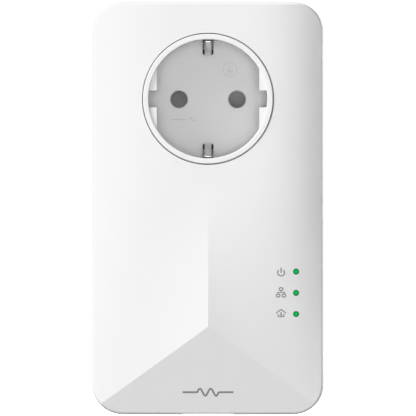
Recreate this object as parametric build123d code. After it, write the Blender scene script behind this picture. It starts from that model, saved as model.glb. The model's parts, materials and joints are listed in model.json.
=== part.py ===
from build123d import *

import os
from math import cos, radians, sin, tan

# A powerline network adapter that plugs into a wall socket (CEE 7/4 plug on its back)
# and passes the mains through to an earthed socket on its front (CEE 7/3).
#
# Millimetres. +Z is up, +X is to the right seen from the front, and the front faces -Y.
# The origin is on the plug's axis, in the plane of the housing's back, which lies
# against the wall socket. "front" and "back" are Y values, and front < back.

# How far a cutting shape runs past the faces that it cuts
PAST = 1.0

# ---------------------------------------------------------------- driving dimensions

# Housing outline, widest at the parting line between the two covers
BODY_WIDTH = 76.0
BODY_HEIGHT = 135.5
Z_BOTTOM = -103.3
Z_TOP = Z_BOTTOM + BODY_HEIGHT
CORNER_R = 10.0
END_BOW = 0.3
WALL = 2.0
Y_PART = -20.0
FRONT_DRAFT = 2.0
BACK_DRAFT = 1.5
RIM_FILLET = 0.6
BACK_FILLET = 2.0
PART_GROOVE = 0.3
TONGUE_INSET = 1.0
TONGUE_LENGTH = 1.5
TONGUE_GAP = 0.1

# Faceted front: flat in the middle, rolling back to the rim at both sides, with a ridge
# that grows below the socket up to an apex, from where two creases run to the corners
Y_CROWN = -41.9
Y_RIM = -38.5
Y_APEX = -43.4
Z_APEX = -74.25
Z_RIDGE_TOP = -30.5
RIDGE_BLEND = 0.08
CREASE_SLOPE = 0.72
FACET_SPAN = BODY_WIDTH / 2 + 0.6
CROWN_DEGREE = 5
FACET_DEPTH = 60.0

# Pins and the earthed socket
PIN_SPACING = 19.0
PIN_X = PIN_SPACING / 2
PIN_R = 2.4
PIN_ROOT_R = 1.8
PIN_LENGTH = 19.0
LIP_FRONT = -42.0
LIP_R = 21.2
LIP_FILLET = 0.3
SHOULDER_FRONT = -37.4
SHOULDER_BACK = -35.9
SHOULDER_R = 23.2
CUP_R = 21.0
RECESS_R = 19.35
RECESS_DEPTH = 17.5
FLOOR_FRONT = LIP_FRONT + RECESS_DEPTH
FLOOR_BACK = FLOOR_FRONT + 2.0
CUP_BACK = -19.5
RIB_FRONT = LIP_FRONT + 0.6
RIB_X = 16.7
CHANNEL_HALF = 2.75
PIN_HOLE_R = 2.75
HOLE_CHAMFER = 0.3
RIB_ROOT = 0.4
RIB_FILLET = 0.35
CLIP_SLOT_HALF = 1.75
CLIP_SLOT_FILLET = 0.5
CLIP_SLOT_INNER_Z = 14.6
CLIP_SLOT_FRONT = -38.2
SOCKET_HOLE_R = 21.5
COLLAR_R = 23.4
COLLAR_SLOT_HALF = 2.4

# Shutter that closes the pin holes until both pins push on it
POST_R = 1.5
POST_BACK = -17.3
SHUTTER_FRONT = FLOOR_BACK + 0.1
SHUTTER_BACK = -19.9
SHUTTER_HUB_R = 4.2
SHUTTER_BORE_R = POST_R + 0.06
SHUTTER_BLADE_R = 13.0
SHUTTER_BLADE_HALF_DEG = 19.0
SHUTTER_RAMP_DEG = 13.0
SHUTTER_RAMP_AT = 0.6
SPRING_PITCH = 0.55
SPRING_HEIGHT = 1.65
SPRING_R = 2.4
SPRING_WIRE_R = 0.16

# Contact carrier behind the shutter
CARRIER_BACK = -6.5
SLEEVE_POCKET_R = 3.55
SLEEVE_R = 3.1
SLEEVE_BORE_R = 2.45
SPRING_POCKET_R = 4.2
CARRIER_SLOT_INNER_Z = 16.2
CARRIER_SCREW_AT = 12.4
CARRIER_POST_R = 2.3
CARRIER_PILOT_R = 1.2
CARRIER_PILOT_FRONT = -22.0
CARRIER_SCREW_HOLE_R = 1.3
CARRIER_SCREW_SEAT_R = 2.4
CARRIER_SCREW_SEAT = -9.0
SLEEVE_FRONT = -19.0
SLEEVE_FLOOR = -7.2
SLIT_WIDTH = 0.8
SLIT_BACK = -10.3
STRAP_FRONT = -6.4
STRAP_BACK = -5.6
STRAP_WIDTH = 6.0
EARTH_STRAP_WIDTH = 5.0
EARTH_STRAP_HALF_LENGTH = 18.6

# Plug on the back
FLANGE_R = 21.5
FLANGE_FRONT = -5.0
FLANGE_BACK = -WALL
PLUG_R = 18.5
PLUG_LENGTH = 17.3
PLUG_FLAT_X = 16.4
PLUG_RIDGE_HALF = 2.4
PLUG_CHAMFER = 0.8
PLUG_CAVITY_R = 14.3
PLUG_FACE_WALL = 3.0
PIN_BOSS_R = 5.0
PIN_COLLAR_R = 3.6
PIN_COLLAR_BACK = -3.0
RIVET_R = 1.5
BASE_POST_R = 2.0
BASE_POSTS = [(sx * 15.6, sz * 9.0) for sx in (-1, 1) for sz in (-1, 1)]
EARTH_NOTCH_Z = 16.05
EARTH_NOTCH_HALF = 3.4
EARTH_NOTCH_FRONT = 0.8
EARTH_SLOT_HALF = 2.1
EARTH_SLOT_DEPTH = 0.95
PLUG_HOLE_R = 18.7

# Circuit board, parallel to the wall
BOARD_FRONT = -14.0
BOARD_BACK = -12.4
BOARD_HALF_WIDTH = 33.5
BOARD_BOTTOM = -100.4
BOARD_TOP = -26.5
BOARD_CORNER_R = 1.5
BOSS_CUTOUT_R = 5.0
TAB_Z = -28.8
TAB_SLOT_HALF_WIDTH = 2.2
TAB_SLOT_HALF_HEIGHT = 0.6

# Screws and what they go through
BOARD_SCREWS = [(-29.5, -31.0), (29.5, -31.0), (-19.0, -96.0), (19.0, -96.0)]
BOARD_POST_R = 2.8
BOARD_PILOT_R = 1.3
BOARD_PILOT_BACK = -6.0
BOARD_HOLE_R = 1.4
HOUSING_SCREWS = [(-31.6, -96.4), (31.6, -96.4), (-31.6, 25.3), (31.6, 25.3)]
FRONT_BOSS_R = 3.4
FRONT_PILOT_R = 1.5
FRONT_PILOT_END = -27.5
BACK_POST_R = 4.4
BACK_HOLE_R = 1.7
SCREW_SEAT_R = 3.0
SCREW_SEAT = -10.0
BOSS_SKIN = 0.5

# Ventilation slots
BACK_VENT_XS = [-18.0, 18.0]
BACK_VENT_Z = -56.0
TOP_VENT_XS = [4.0 * i for i in range(-4, 5)]
BOTTOM_VENT_XS = [-22.0, -18.0, -14.0, 14.0, 18.0, 22.0]

# Indicator lights: power, network and home link
LIGHT_X = 28.7
LIGHT_ZS = [-56.25, -63.2, -70.1]
LIGHT_R = 0.95
LIGHT_GAP = 0.05
GUIDE_BACK = -15.4
GUIDE_BAR_HALF = 1.5
GUIDE_BAR_FRONT, GUIDE_BAR_BACK = -31.0, -29.0

# Network port in the bottom edge
JACK_HALF_WIDTH = 7.95
JACK_FRONT = BOARD_FRONT - 13.4
JACK_MOUTH_Z = -102.6
JACK_TOP_Z = -86.6
SHIELD_WALL = 0.25
PORT_HALF_WIDTH = 5.9
PORT_FRONT = -24.6
PORT_BACK = -17.8
PORT_DEPTH = 13.0
PORT_GAP = 0.35
PORT_FLAT_Z = -102.75
LATCH_HALF_WIDTH = 3.1
LATCH_TAIL_HALF_WIDTH = 1.6
WIRE_COUNT = 8
WIRE_PITCH = 1.02
WIRE_R = 0.22

# Blank label on the back
LABEL_Z = -88.0
LABEL_WIDTH, LABEL_HEIGHT = 44.0, 14.0
LABEL_R = 1.0
LABEL_GAP = 0.2
LABEL_THICKNESS = 0.2
LABEL_POCKET = 0.3

# Pairing button in the right edge, on the parting line
BUTTON_Z = -84.9
BUTTON_LENGTH = 7.1
BUTTON_WIDTH = 4.2
BUTTON_GAP = 0.2
BUTTON_FACE_X = 37.85
BUTTON_BACK_X = 34.6
BUTTON_FLANGE = 1.0
BUTTON_STEM_R = 1.2
BUTTON_STEM_X = 31.9
PLUNGER_R = 1.5
PLUNGER_BACK_X, PLUNGER_FRONT_X = 29.9, 31.85
SWITCH_X = (26.9, 30.4)
SWITCH_HALF = 3.0


# ---------------------------------------------------------------- helpers


def at_y(sketch, y):
    """Puts an XZ sketch in the plane at y, with its normal to the front."""
    return Plane((0, y, 0), x_dir=(1, 0, 0), z_dir=(0, -1, 0)) * sketch


def slab(sketch, front, back):
    """A solid of an XZ sketch between two Y values."""
    return extrude(at_y(sketch, back), back - front)


def rod(radius, front, back, x=0.0, z=0.0):
    """A cylinder along Y."""
    return slab(Pos(x, z) * Circle(radius), front, back)


def block(x, y, z):
    """A box between two values on each axis."""
    spans = (x, y, z)
    centre = [(low + high) / 2 for low, high in spans]
    size = [high - low for low, high in spans]
    return Pos(*centre) * Box(*size)


def rod_x(radius, x_low, x_high, y, z):
    """A cylinder along X."""
    return Pos((x_low + x_high) / 2, y, z) * Rot(0, 90, 0) * Cylinder(radius, x_high - x_low)


def bent_strip(points, width, thickness, radius):
    """A strip of rounded section that follows (y, z) points in the plane X = 0."""
    path = FilletPolyline([(0, y, z) for y, z in points], radius=radius)
    start = Plane(origin=path @ 0, x_dir=(1, 0, 0), z_dir=path % 0)
    section = RectangleRounded(width, thickness, thickness * 0.45)
    return sweep(start * section, path=path)


def mirrored_in_z(solid):
    return mirror(solid, about=Plane.XY)


def outline(inset=0.0):
    """The housing's outline: rounded corners, straight sides and slightly bowed ends."""
    side = BODY_WIDTH / 2 - inset
    top, bottom = Z_TOP - inset, Z_BOTTOM + inset
    edges = [
        ThreePointArc((-side, top - END_BOW), (0, top), (side, top - END_BOW)),
        Line((side, top - END_BOW), (side, bottom + END_BOW)),
        ThreePointArc((side, bottom + END_BOW), (0, bottom), (-side, bottom + END_BOW)),
        Line((-side, bottom + END_BOW), (-side, top - END_BOW)),
    ]
    face = make_face(Curve() + edges)
    return fillet(face.vertices(), CORNER_R - inset)


def drafted(inset, near, far, draft):
    """A block with the housing's outline at near, narrowing by the draft angle to far."""
    narrowed = inset + abs(far - near) * tan(radians(draft))
    return loft([at_y(outline(inset), near), at_y(outline(narrowed), far)], ruled=True)


# ---------------------------------------------------------------- faceted front


def patch(side, rows):
    """A Bezier patch on one side of the middle, from rows of (y, z) control points."""
    return Face.make_bezier_surface(
        [
            [(side * FACET_SPAN * i / CROWN_DEGREE, y, z) for i, (y, z) in enumerate(row)]
            for row in rows
        ]
    )


def front_patches():
    """The visible front: two crowned panels, two side facets and one lower facet."""
    steps = range(CROWN_DEGREE + 1)
    crown = [Y_CROWN] * CROWN_DEGREE + [Y_RIM]
    straight = [Y_APEX + (Y_RIM - Y_APEX) * i / CROWN_DEGREE for i in steps]
    crease_z = [Z_APEX - CREASE_SLOPE * FACET_SPAN * i / CROWN_DEGREE for i in steps]
    above_top = Z_TOP + 8.0

    def row(ys, zs):
        return list(zip(ys, zs))

    top_row = row(crown, [above_top] * len(steps))
    ridge_row = row(crown, [Z_RIDGE_TOP] * len(steps))
    blend_z = [Z_RIDGE_TOP + RIDGE_BLEND * (z - Z_RIDGE_TOP) for z in crease_z]
    blend_row = row(crown, blend_z)
    crease_row = row(straight, crease_z)
    faces = []
    for side in (-1, 1):
        faces.append(patch(side, [top_row, ridge_row]))
        faces.append(patch(side, [ridge_row, blend_row, crease_row]))

    z_crease_end = crease_z[-1]
    z_below = Z_BOTTOM - 3.0
    y_below = Y_APEX + (Y_RIM - Y_APEX) * (Z_APEX - z_below) / (Z_APEX - z_crease_end)
    lower_facet = Wire.make_polygon(
        [
            (0, Y_APEX, Z_APEX),
            (FACET_SPAN, Y_RIM, z_crease_end),
            (FACET_SPAN, y_below, z_below),
            (-FACET_SPAN, y_below, z_below),
            (-FACET_SPAN, Y_RIM, z_crease_end),
        ],
        close=True,
    )
    faces.append(Face(lower_facet))
    return faces


def behind_front(shift):
    """Everything behind the faceted front, moved back by shift."""
    moved = [face.moved(Location((0, shift, 0))) for face in front_patches()]
    prisms = [extrude(face, FACET_DEPTH, dir=(0, 1, 0)) for face in moved]
    whole = prisms[0]
    for prism in prisms[1:]:
        whole = whole + prism
    return whole


def front_block(inset, shift):
    """The front half of the housing as a full block."""
    return drafted(inset, Y_PART, Y_APEX - 5.0, FRONT_DRAFT) & behind_front(shift)


def rim_edges(block_solid):
    """The edges where the drafted sides meet the faceted front."""
    sides = [f for f in block_solid.faces() if abs(f.normal_at().Y) < 0.3]
    fronts = [f for f in block_solid.faces() if f.normal_at().Y < -0.8]
    side_edges = [e for f in sides for e in f.edges()]
    return [
        e for f in fronts for e in f.edges() if any(e.is_same(other) for other in side_edges)
    ]


# ---------------------------------------------------------------- openings in the housing


def port_opening():
    """The opening for the network port, and the shallow flat that it lies in."""
    half = JACK_HALF_WIDTH + PORT_GAP
    back = BOARD_FRONT + PORT_GAP
    flat = block((-half, half), (Y_APEX, back), (Z_BOTTOM - PAST, PORT_FLAT_Z))
    through = (Z_BOTTOM - PAST, Z_BOTTOM + WALL + 0.8)
    return flat + block((-half, half), (JACK_FRONT - PORT_GAP, back), through)


def button_shape(grow, x_inner, x_outer):
    """A stadium-shaped bar along X, centred on the parting line."""
    plane = Plane((x_inner, Y_PART, BUTTON_Z), x_dir=(0, 0, 1), z_dir=(1, 0, 0))
    width = BUTTON_WIDTH + 2 * grow
    stadium = SlotOverall(BUTTON_LENGTH + 2 * grow, width)
    return extrude(plane * stadium, x_outer - x_inner)


def button_opening():
    return button_shape(BUTTON_GAP, BODY_WIDTH / 2 - 2 * WALL, BODY_WIDTH / 2 + PAST)


def back_vents(x, z, count=7, pitch=4.2, width=1.6, length=20.0):
    """A column of ventilation slots through the back wall, centred at x, z."""
    slots = Sketch()
    for i in range(count):
        slots += Pos(x, z + (i - (count - 1) / 2) * pitch) * SlotOverall(length, width)
    return slab(slots, -WALL - PAST, PAST)


def end_vents(z, xs, width=1.6, front=-14.0, back=-5.0):
    """Ventilation slots through the top or bottom wall."""
    slots = Part()
    for x in xs:
        slots += block((x - width / 2, x + width / 2), (front, back), (z - 3.5, z + 3.5))
    return slots


# ---------------------------------------------------------------- housing


def front_cover():
    outer = fillet(rim_edges(front_block(0, 0)), RIM_FILLET)
    cover = outer - front_block(WALL, WALL)
    cover += rod(COLLAR_R, Y_APEX, SHOULDER_FRONT) & behind_front(BOSS_SKIN)
    for x, z in HOUSING_SCREWS:
        cover += rod(FRONT_BOSS_R, Y_APEX, Y_PART, x, z) & behind_front(BOSS_SKIN)

    cover -= rod(SOCKET_HOLE_R, Y_APEX - PAST, Y_PART)
    y_span = (Y_CROWN + WALL + 0.3, Y_PART)
    cover -= block((-COLLAR_SLOT_HALF, COLLAR_SLOT_HALF), y_span, (-COLLAR_R, COLLAR_R))
    for x, z in HOUSING_SCREWS:
        cover -= rod(FRONT_PILOT_R, FRONT_PILOT_END, Y_PART + PAST, x, z)
    for z in LIGHT_ZS:
        cover -= rod(LIGHT_R + LIGHT_GAP, Y_APEX - PAST, Y_PART, LIGHT_X, z)

    # the rebate that takes the back cover's tongue, and the groove that shows outside
    rebate = outline(TONGUE_INSET - TONGUE_GAP / 2) - outline(WALL + 0.2)
    cover -= slab(rebate, Y_PART - TONGUE_LENGTH - TONGUE_GAP, Y_PART)
    groove = outline(-PAST) - outline(PART_GROOVE)
    cover -= slab(groove, Y_PART - PART_GROOVE, Y_PART)
    cover -= port_opening()
    cover -= button_opening()
    return cover


def back_cover():
    full = drafted(0, Y_PART, 0.0, BACK_DRAFT)
    back_face = full.faces().sort_by(Axis.Y)[-1]
    cover = fillet(back_face.edges(), BACK_FILLET) - drafted(WALL, Y_PART, -WALL, BACK_DRAFT)

    tongue = outline(TONGUE_INSET + TONGUE_GAP / 2) - outline(WALL)
    cover += slab(tongue, Y_PART - TONGUE_LENGTH, Y_PART)
    for x, z in HOUSING_SCREWS:
        cover += rod(BACK_POST_R, Y_PART + 0.1, -BOSS_SKIN, x, z)
    for x, z in BOARD_SCREWS:
        cover += rod(BOARD_POST_R, BOARD_BACK, -BOSS_SKIN, x, z)

    cover -= rod(PLUG_HOLE_R, -WALL - PAST, PAST)
    for x, z in HOUSING_SCREWS:
        cover -= rod(BACK_HOLE_R, Y_PART, PAST, x, z)
        cover -= rod(SCREW_SEAT_R, SCREW_SEAT, PAST, x, z)
    for x, z in BOARD_SCREWS:
        cover -= rod(BOARD_PILOT_R, BOARD_BACK - PAST, BOARD_PILOT_BACK, x, z)
    for x in BACK_VENT_XS:
        cover -= back_vents(x, BACK_VENT_Z)
    cover -= end_vents(Z_TOP, TOP_VENT_XS)
    cover -= end_vents(Z_BOTTOM, BOTTOM_VENT_XS)
    cover -= slab(label_outline(LABEL_GAP), -LABEL_POCKET, PAST)
    cover -= port_opening()
    cover -= button_opening()
    return cover


def label_outline(grow=0.0):
    width, height = LABEL_WIDTH + 2 * grow, LABEL_HEIGHT + 2 * grow
    return Pos(0, LABEL_Z) * RectangleRounded(width, height, LABEL_R + grow)


def rating_label():
    """A blank self-adhesive plate in its pocket on the back."""
    return slab(label_outline(), -LABEL_POCKET, LABEL_THICKNESS - LABEL_POCKET)


def screw(x, z, head_back, head_r, head_height, shank_r, length):
    """A pan-head screw that points to the front, with a cross recess in its head."""
    head = rod(head_r, head_back - head_height, head_back, x, z)
    head = fillet(head.edges().group_by(Axis.Y)[-1], head_height * 0.4)
    shank = rod(shank_r, head_back - head_height - length, head_back - head_height, x, z)
    shank = chamfer(shank.edges().group_by(Axis.Y)[0], shank_r * 0.4)
    cross = Rectangle(head_r * 1.2, head_r * 0.25) + Rectangle(head_r * 0.25, head_r * 1.2)
    recess = slab(Pos(x, z) * cross, head_back - head_height * 0.55, head_back + PAST)
    return head + shank - recess


def housing_screws():
    size = dict(head_r=2.75, head_height=2.0, shank_r=1.45, length=16.0)
    return [screw(x, z, SCREW_SEAT + 2.0, **size) for x, z in HOUSING_SCREWS]


def board_screws():
    """Screws that point to the back, so each is made turned round and then turned back."""
    size = dict(head_r=2.2, head_height=1.6, shank_r=1.2, length=7.0)
    turned = [screw(-x, z, 1.6 - BOARD_FRONT, **size) for x, z in BOARD_SCREWS]
    return [solid.rotate(Axis.Z, 180) for solid in turned]


# ---------------------------------------------------------------- socket


def carrier_screw_places():
    return [(CARRIER_SCREW_AT, CARRIER_SCREW_AT), (-CARRIER_SCREW_AT, -CARRIER_SCREW_AT)]


def recess_ribs():
    """Two ribs on each side of the recess, with a channel between them for a plug's ridge."""
    ribs = rod(RECESS_R + RIB_ROOT, RIB_FRONT, FLOOR_FRONT)
    y_span = (RIB_FRONT - PAST, FLOOR_FRONT + PAST)
    ribs -= block((-RIB_X, RIB_X), y_span, (-LIP_R, LIP_R))
    ribs -= block((-LIP_R, LIP_R), y_span, (-CHANNEL_HALF, CHANNEL_HALF))
    rounded = []
    for rib in ribs.solids():
        front_face = rib.faces().sort_by(Axis.Y)[0]
        straight_edges = front_face.edges().filter_by(GeomType.LINE)
        rounded.append(fillet(straight_edges, RIB_FILLET))
    return rounded


def clip_slot(side):
    """The slot that an earth clip stands in, with rounded corners at its inner end."""
    z_span = sorted((side * CLIP_SLOT_INNER_Z, side * (SHOULDER_R + PAST)))
    y_span = (CLIP_SLOT_FRONT, CUP_BACK + PAST)
    slot = block((-CLIP_SLOT_HALF, CLIP_SLOT_HALF), y_span, z_span)
    inner_edges = slot.edges().filter_by(Axis.Y).filter_by(
        lambda e: abs(e.center().Z) < CLIP_SLOT_INNER_Z + 0.01
    )
    return fillet(inner_edges, CLIP_SLOT_FILLET)


def socket_insert():
    lip = rod(LIP_R, LIP_FRONT, SHOULDER_FRONT)
    shoulder = rod(SHOULDER_R, SHOULDER_FRONT, SHOULDER_BACK)
    cup = rod(CUP_R, SHOULDER_BACK, CUP_BACK)
    recess = rod(RECESS_R, LIP_FRONT - PAST, FLOOR_FRONT)
    ring = lip - recess
    ring = fillet(ring.edges().group_by(Axis.Y)[0], LIP_FILLET)
    insert = ring + (shoulder + cup - recess)
    insert -= rod(RECESS_R, FLOOR_BACK, CUP_BACK + PAST)
    for rib in recess_ribs():
        insert += rib

    insert += rod(POST_R, FLOOR_BACK, POST_BACK)
    for x, z in carrier_screw_places():
        post = rod(CARRIER_POST_R, FLOOR_BACK, CUP_BACK, x, z)
        insert += post - rod(CARRIER_PILOT_R, CARRIER_PILOT_FRONT, CUP_BACK, x, z)
    for x in (-PIN_X, PIN_X):
        insert -= rod(PIN_HOLE_R, FLOOR_FRONT - PAST, FLOOR_BACK + 0.05, x)
        edge = Pos(x, FLOOR_FRONT, 0) * Rot(90, 0, 0)
        insert -= edge * Cone(PIN_HOLE_R, PIN_HOLE_R + 2 * HOLE_CHAMFER, 2 * HOLE_CHAMFER)
    return insert - clip_slot(-1) - clip_slot(1)


def blade_sector(radius, half_deg):
    """A sector of a circle about the +X direction."""
    start = Vector(radius * cos(radians(half_deg)), -radius * sin(radians(half_deg)))
    end = Vector(start.X, -start.Y)
    lines = [Line((0, 0), start), ThreePointArc(start, (radius, 0), end), Line(end, (0, 0))]
    return make_face(Curve() + lines)


def socket_shutter():
    """A rotor with two blades under the pin holes, and ramps that the pins slide on."""
    sector = blade_sector(SHUTTER_BLADE_R, SHUTTER_BLADE_HALF_DEG)
    profile = Circle(SHUTTER_HUB_R) + sector + Rot(0, 0, 180) * sector
    rotor = slab(profile, SHUTTER_FRONT, SHUTTER_BACK)
    hub = rod(SHUTTER_HUB_R, SHUTTER_FRONT - 9.0, SHUTTER_BACK + 9.0)
    ramp = Rot(SHUTTER_RAMP_DEG, 0, 0) * Pos(0, -4.0, 0) * Box(9.0, 8.0, 20.0)
    for turn in (0, 180):
        above_blade = Rot(0, turn, 0) * Pos(PIN_X, SHUTTER_FRONT + SHUTTER_RAMP_AT, 0) * ramp
        rotor -= above_blade - hub
    return rotor - rod(SHUTTER_BORE_R, SHUTTER_FRONT - PAST, SHUTTER_BACK + PAST)


def shutter_spring():
    """The torsion spring that turns the shutter back over the holes."""
    start = (0, SHUTTER_BACK + 0.3, 0)
    coil = Helix(SPRING_PITCH, SPRING_HEIGHT, SPRING_R, center=start, direction=(0, 1, 0))
    section = Plane(origin=coil @ 0, z_dir=coil % 0) * Circle(SPRING_WIRE_R)
    return sweep(section, path=coil, is_frenet=True)


def contact_carrier():
    front, back = CUP_BACK - PAST, CARRIER_BACK + PAST
    carrier = rod(CUP_R, CUP_BACK, CARRIER_BACK)
    for x in (-PIN_X, PIN_X):
        carrier -= rod(SLEEVE_POCKET_R, front, back, x)
    carrier -= rod(SPRING_POCKET_R, front, POST_BACK + 0.6)
    for side in (-1, 1):
        z_span = sorted((side * CARRIER_SLOT_INNER_Z, side * (CUP_R + PAST)))
        carrier -= block((-CLIP_SLOT_HALF, CLIP_SLOT_HALF), (front, back), z_span)
    for x, z in carrier_screw_places():
        carrier -= rod(CARRIER_SCREW_HOLE_R, front, back, x, z)
        carrier -= rod(CARRIER_SCREW_SEAT_R, CARRIER_SCREW_SEAT, back, x, z)
    return carrier


def carrier_screws():
    size = dict(head_r=2.1, head_height=1.6, shank_r=1.1, length=12.6)
    return [screw(x, z, CARRIER_SCREW_SEAT + 1.6, **size) for x, z in carrier_screw_places()]


def socket_contact(x):
    """A slotted sleeve that grips the inserted plug's pin."""
    sleeve = rod(SLEEVE_R, SLEEVE_FRONT, STRAP_FRONT, x)
    sleeve -= rod(SLEEVE_BORE_R, SLEEVE_FRONT - PAST, SLEEVE_FLOOR, x)
    mouth = Pos(x, SLEEVE_FRONT, 0) * Rot(90, 0, 0)
    sleeve -= mouth * Cone(SLEEVE_BORE_R - 0.1, SLEEVE_R - 0.2, 1.0)
    y_span = (SLEEVE_FRONT - PAST, SLIT_BACK)
    half, reach = SLIT_WIDTH / 2, SLEEVE_R + PAST
    sleeve -= block((x - reach, x + reach), y_span, (-half, half))
    return sleeve - block((x - half, x + half), y_span, (-reach, reach))


def earth_clip():
    """The upper spring contact that bears on an inserted plug's earth strip."""
    points = [(-6.55, 18.0), (-20.5, 17.5), (-32.0, 14.4), (-37.2, 19.1)]
    return bent_strip(points, width=2.2, thickness=1.0, radius=4.0)


def earth_strap():
    """Joins both earth clips to the contacts on the plug's sides."""
    half, reach = EARTH_STRAP_WIDTH / 2, EARTH_STRAP_HALF_LENGTH
    strap = block((-half, half), (STRAP_FRONT, STRAP_BACK), (-reach, reach))
    return fillet(strap.edges().filter_by(Axis.Y), 1.0)


# ---------------------------------------------------------------- plug


def plug_profile():
    """A disc with flats at both sides and a guide ridge on each flat."""
    flats = Circle(PLUG_R) & Rectangle(2 * PLUG_FLAT_X, 3 * PLUG_R)
    ridges = Circle(PLUG_R) & Rectangle(3 * PLUG_R, 2 * PLUG_RIDGE_HALF)
    return flats + ridges


def plug_base():
    boss = slab(plug_profile(), FLANGE_BACK, PLUG_LENGTH)
    boss = chamfer(boss.faces().sort_by(Axis.Y)[-1].edges(), PLUG_CHAMFER)
    base = boss + rod(FLANGE_R, FLANGE_FRONT, FLANGE_BACK)

    cavity = rod(PLUG_CAVITY_R, FLANGE_FRONT - PAST, PLUG_LENGTH - PLUG_FACE_WALL)
    for x in (-PIN_X, PIN_X):
        cavity -= rod(PIN_BOSS_R, PIN_COLLAR_BACK, PLUG_LENGTH, x)
    cavity -= block((-PIN_X, PIN_X), (FLANGE_BACK, PLUG_LENGTH), (-0.8, 0.8))
    base -= cavity
    for x, z in BASE_POSTS:
        base += rod(BASE_POST_R, CARRIER_BACK, FLANGE_FRONT, x, z)

    for x in (-PIN_X, PIN_X):
        base -= rod(PIN_ROOT_R + 0.03, PIN_COLLAR_BACK - PAST, PLUG_LENGTH + PAST, x)
    for side in (-1, 1):
        z_span = sorted((side * EARTH_NOTCH_Z, side * (PLUG_R + PAST)))
        y_span = (EARTH_NOTCH_FRONT, PLUG_LENGTH + PAST)
        base -= block((-EARTH_NOTCH_HALF, EARTH_NOTCH_HALF), y_span, z_span)
        z_span = sorted((side * EARTH_NOTCH_Z, side * (EARTH_NOTCH_Z + EARTH_SLOT_DEPTH)))
        base -= block((-EARTH_SLOT_HALF, EARTH_SLOT_HALF), (FLANGE_FRONT - PAST, PAST), z_span)
    return base


def plug_earth_contacts():
    """The sprung strips on the plug's top and bottom that meet the wall socket's clips."""
    points = [(STRAP_BACK, 16.5), (1.2, 16.5), (8.8, 17.1), (15.8, 16.5)]
    upper = bent_strip(points, width=4.0, thickness=0.7, radius=8.0)
    return [upper, mirrored_in_z(upper)]


def plug_pin(x):
    """A round-ended pin, shouldered against the plug's face and riveted through its busbar."""
    shaft = rod(PIN_R, PLUG_LENGTH, PLUG_LENGTH + PIN_LENGTH, x)
    shaft = fillet(shaft.edges().group_by(Axis.Y)[-1], PIN_R * 2 / 3)
    root = rod(PIN_ROOT_R, PIN_COLLAR_BACK, PLUG_LENGTH, x)
    collar = rod(PIN_COLLAR_R, STRAP_BACK, PIN_COLLAR_BACK, x)
    rivet = rod(RIVET_R, STRAP_FRONT, STRAP_BACK, x)
    return shaft + root + collar + rivet


def busbar(x):
    """Joins a pin and its socket contact, and runs down to the circuit board."""
    half = STRAP_WIDTH / 2
    tab_z = (TAB_Z - 0.4, TAB_Z + 0.4)
    bar = block((x - half, x + half), (STRAP_FRONT, STRAP_BACK), (tab_z[0], 0.0))
    bar += rod(half, STRAP_FRONT, STRAP_BACK, x)
    bar -= rod(RIVET_R + 0.03, STRAP_FRONT - PAST, STRAP_BACK + PAST, x)
    return bar + block((x - 2.0, x + 2.0), (BOARD_FRONT - 1.2, STRAP_FRONT), tab_z)


# ---------------------------------------------------------------- network port


def jack_shield():
    half, inner = JACK_HALF_WIDTH, JACK_HALF_WIDTH - SHIELD_WALL
    can = block((-half, half), (JACK_FRONT, BOARD_FRONT), (JACK_MOUTH_Z, JACK_TOP_Z))
    y_span = (JACK_FRONT + SHIELD_WALL, BOARD_FRONT + PAST)
    return can - block((-inner, inner), y_span, (JACK_MOUTH_Z - PAST, JACK_TOP_Z - SHIELD_WALL))


def jack_housing():
    """The moulded body in the shield: cavity, latch notch and a slot for the contacts."""
    inset = SHIELD_WALL + 0.05
    half, y_front = JACK_HALF_WIDTH - inset, JACK_FRONT + inset
    z_span = (JACK_MOUTH_Z + 0.2, JACK_TOP_Z - inset)
    body = block((-half, half), (y_front, BOARD_FRONT - 0.05), z_span)

    outside, top = JACK_MOUTH_Z - PAST, JACK_MOUTH_Z + PORT_DEPTH
    width = PORT_HALF_WIDTH
    body -= block((-width, width), (PORT_FRONT, PORT_BACK), (outside, top))
    width = LATCH_HALF_WIDTH
    body -= block((-width, width), (PORT_FRONT - 1.6, PORT_FRONT + 0.5), (outside, top - 4.0))
    width = LATCH_TAIL_HALF_WIDTH
    body -= block((-width, width), (y_front - PAST, PORT_FRONT), (outside, top - 8.0))
    width = (WIRE_COUNT + 0.4) / 2 * WIRE_PITCH
    wire_room = (PORT_BACK - 0.5, PORT_BACK + 2.3)
    return body - block((-width, width), wire_room, (JACK_MOUTH_Z + 1.0, top))


def jack_contacts():
    """Spring wires that lean into the port and are pushed back by a plug."""
    wires = []
    for i in range(WIRE_COUNT):
        x = (i - (WIRE_COUNT - 1) / 2) * WIRE_PITCH
        points = [(x, -16.9, -100.9), (x, -17.3, -100.0), (x, -20.0, -92.6), (x, -19.4, -91.4)]
        path = FilletPolyline(points, radius=0.6)
        section = Plane(origin=path @ 0, z_dir=path % 0) * Circle(WIRE_R)
        wires.append(sweep(section, path=path))
    return wires


# ---------------------------------------------------------------- button and lights


def pair_button():
    cap = button_shape(0.0, BUTTON_BACK_X, BUTTON_FACE_X)
    face_edges = cap.edges().filter_by(lambda e: e.center().X > BUTTON_FACE_X - 0.01)
    flange = button_shape(BUTTON_FLANGE, BUTTON_BACK_X, BUTTON_BACK_X + 1.2)
    stem = rod_x(BUTTON_STEM_R, BUTTON_STEM_X, BUTTON_BACK_X, Y_PART, BUTTON_Z)
    return fillet(face_edges, 0.35) + flange + stem


def switch_plunger():
    return rod_x(PLUNGER_R, PLUNGER_BACK_X, PLUNGER_FRONT_X, Y_PART, BUTTON_Z)


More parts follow.
